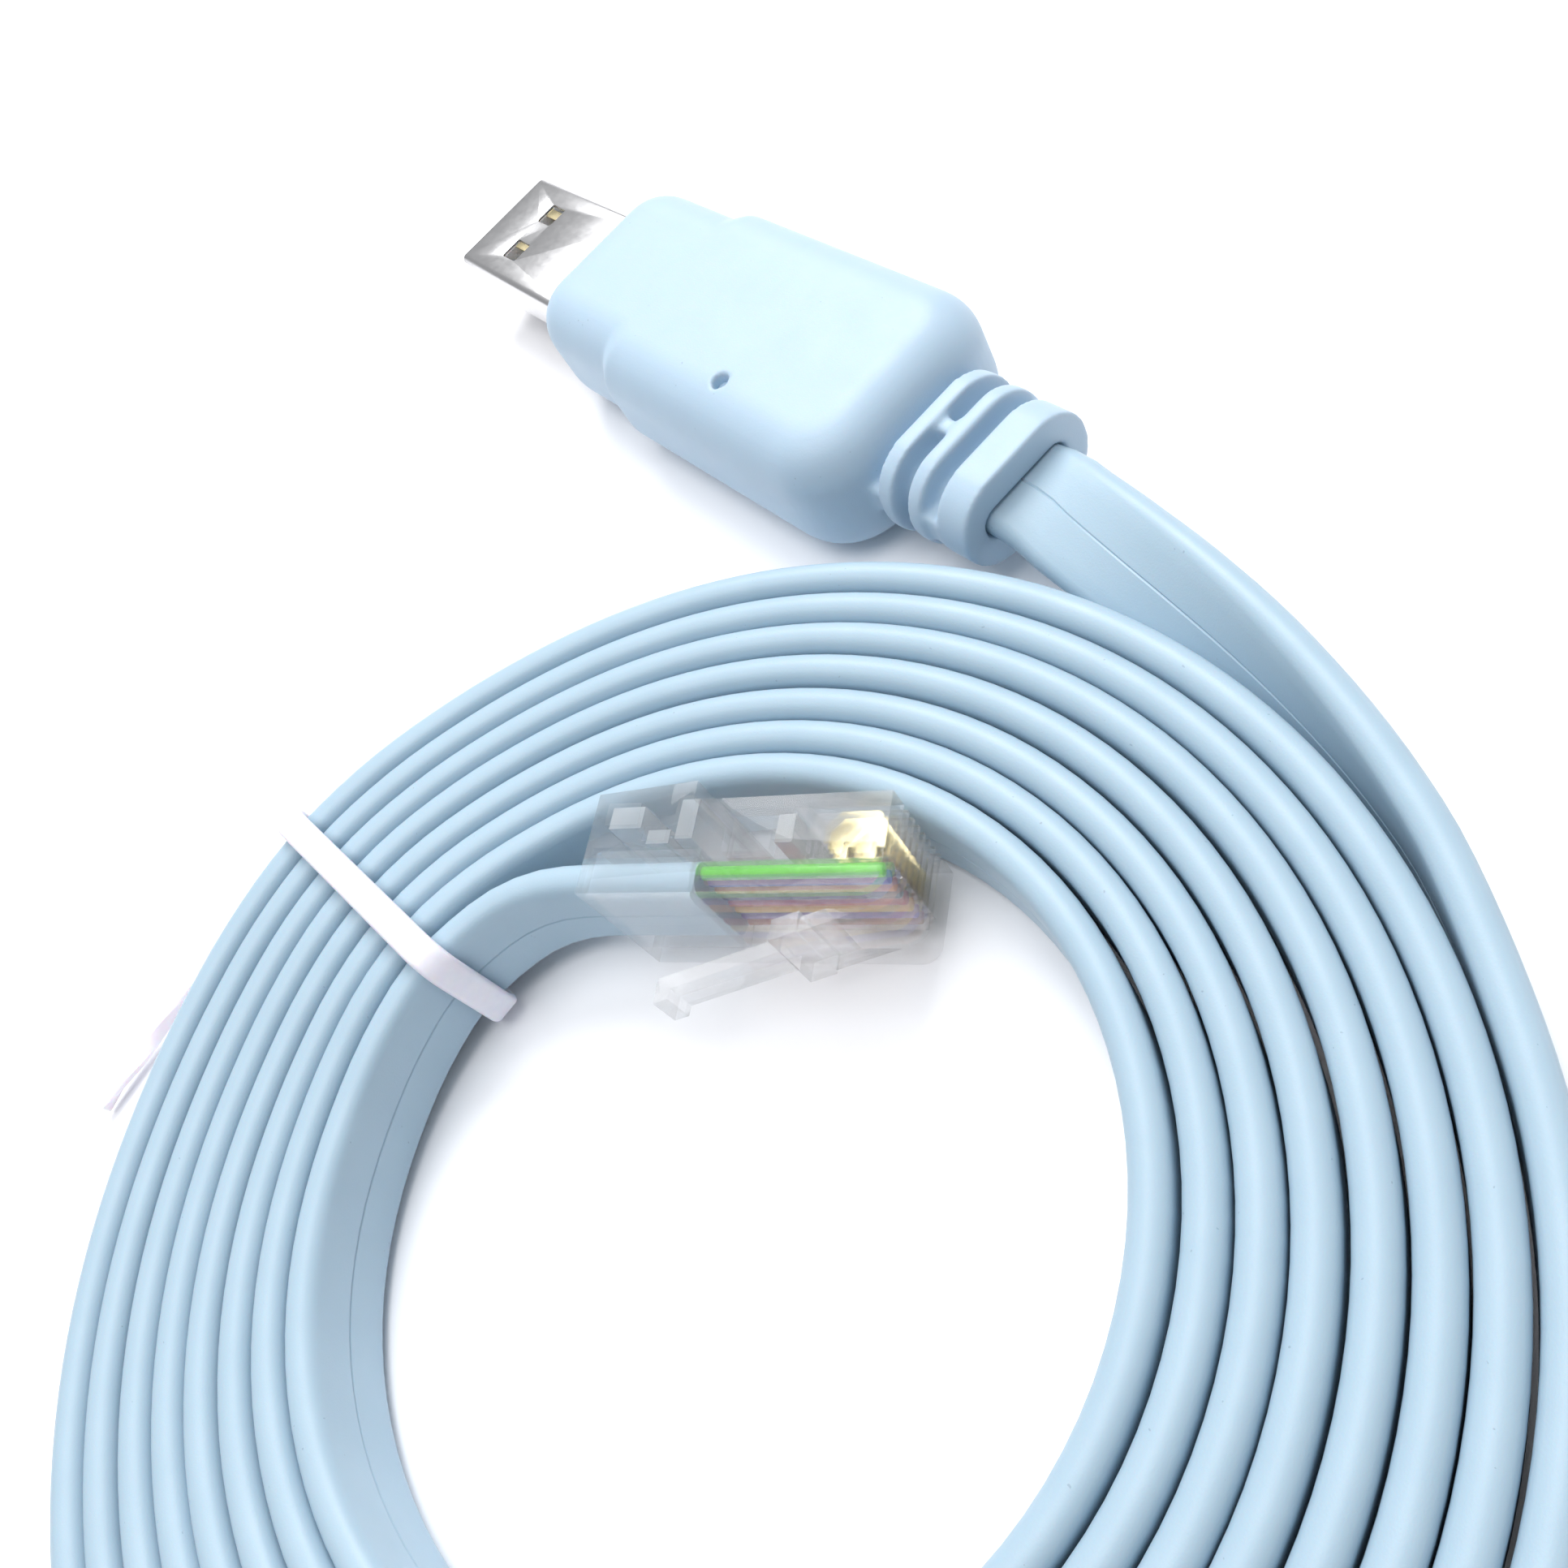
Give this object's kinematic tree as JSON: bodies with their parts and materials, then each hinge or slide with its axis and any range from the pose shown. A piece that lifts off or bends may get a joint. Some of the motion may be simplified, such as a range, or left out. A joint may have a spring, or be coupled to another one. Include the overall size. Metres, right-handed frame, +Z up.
{
  "type": "rj45 console cable",
  "caption": "Flat console lead wound on edge into a tied coil, with a clear modular plug on one end and a moulded USB plug housing on the other.",
  "frame": {"origin": "on the table under the middle of the moulded housing and its USB plug", "axes": "+X along the housing towards the USB plug, +Z up from the table, +Y towards the coil"},
  "size_m": [0.1386, 0.1077, 0.012],
  "materials": {
    "housing": "soft pale blue moulding, satin",
    "jacket": "soft pale blue jacket, satin",
    "clear_plastic": "clear moulded polycarbonate",
    "contact_gold": "gold plated, smooth",
    "shell_steel": "nickel plated sheet steel",
    "white_insulator": "moulded white plastic",
    "tie_band": "soft white plastic band",
    "core_green": "coloured core insulation",
    "core_blue": "coloured core insulation",
    "core_orange": "coloured core insulation",
    "core_black": "coloured core insulation",
    "core_red": "coloured core insulation",
    "core_yellow": "coloured core insulation",
    "core_violet": "coloured core insulation",
    "core_brown": "coloured core insulation"
  },
  "bodies": {
    "root": {"moulded_housing": "housing", "usb_shell": "shell_steel", "usb_insulator": "white_insulator", "usb_contact_1": "contact_gold", "usb_contact_2": "contact_gold", "usb_contact_3": "contact_gold", "usb_contact_4": "contact_gold", "housing_lead": "jacket", "coiled_lead": "jacket", "plug_lead": "jacket", "bundle_tie": "tie_band", "modular_plug": "clear_plastic", "plug_contact_1": "contact_gold", "plug_contact_2": "contact_gold", "plug_contact_3": "contact_gold", "plug_contact_4": "contact_gold", "plug_contact_5": "contact_gold", "plug_contact_6": "contact_gold", "plug_contact_7": "contact_gold", "plug_contact_8": "contact_gold", "core_wire_1": "core_green", "core_wire_2": "core_blue", "core_wire_3": "core_orange", "core_wire_4": "core_black", "core_wire_5": "core_red", "core_wire_6": "core_yellow", "core_wire_7": "core_violet", "core_wire_8": "core_brown"}
  },
  "joints": []
}
